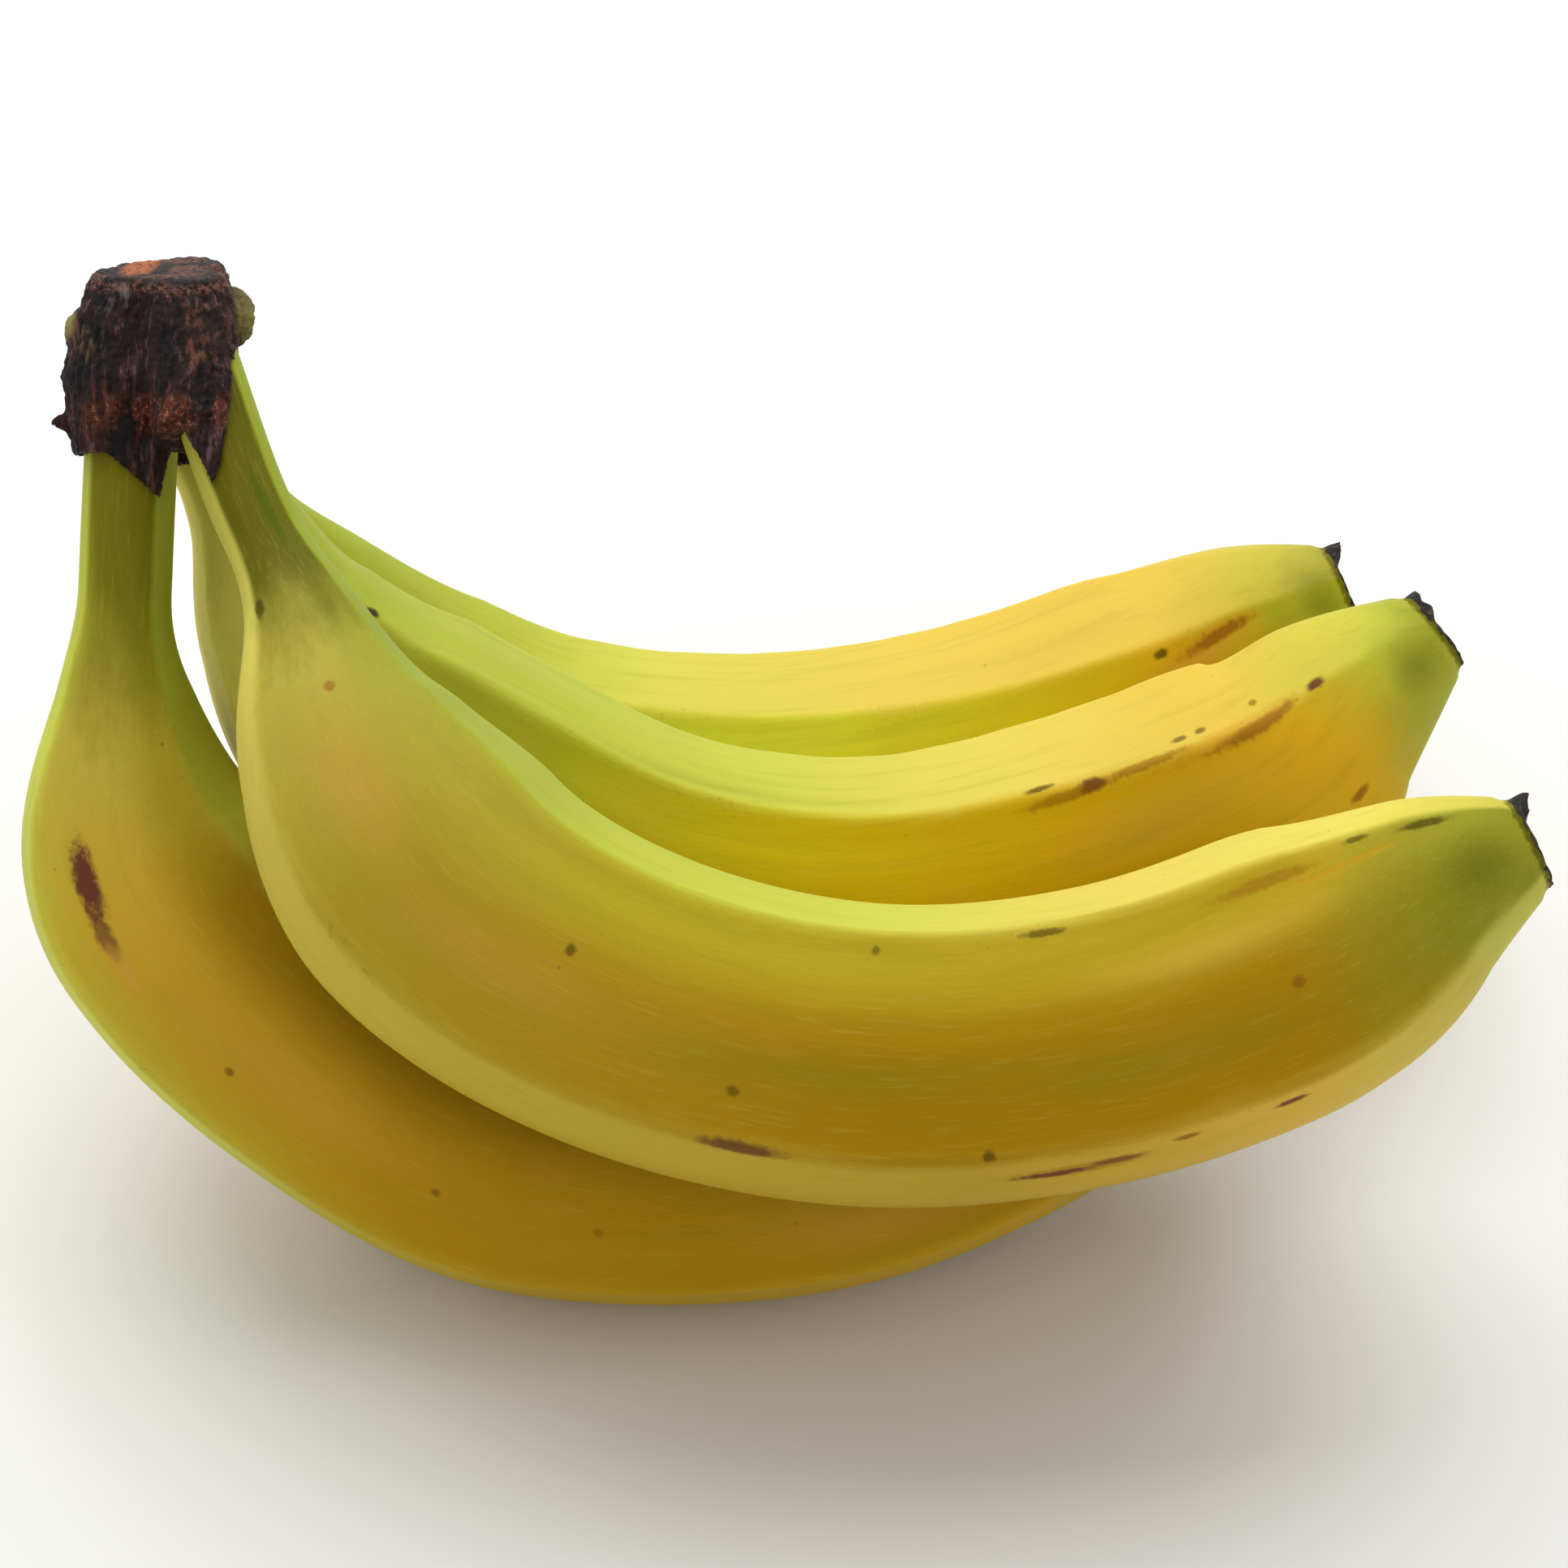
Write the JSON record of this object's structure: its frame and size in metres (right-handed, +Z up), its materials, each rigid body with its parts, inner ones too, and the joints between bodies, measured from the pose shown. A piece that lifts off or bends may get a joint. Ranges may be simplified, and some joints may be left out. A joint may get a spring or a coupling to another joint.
{
  "type": "bunch of bananas",
  "caption": "Bunch of ripening bananas with ridged peels, green necks and dark blossom ends, joined at a brown cut crown and lying on its bellies.",
  "frame": {"origin": "middle of the footprint, on the surface that the bunch lies on", "axes": "+X from the crown to the tips, +Y from the front banana to the back one, +Z up"},
  "size_m": [0.1928, 0.14, 0.114],
  "materials": {
    "peel_green_yellow": "satin green-yellow peel with fine freckles",
    "peel_yellow": "satin yellow peel with brown scuffs on its ridges",
    "crown_fibre": "dry dark brown fibre, cut and torn"
  },
  "bodies": {
    "root": {"banana_front": "peel_green_yellow", "banana_low": "peel_green_yellow", "banana_middle": "peel_yellow", "banana_back": "peel_yellow", "crown": "crown_fibre"}
  },
  "joints": []
}
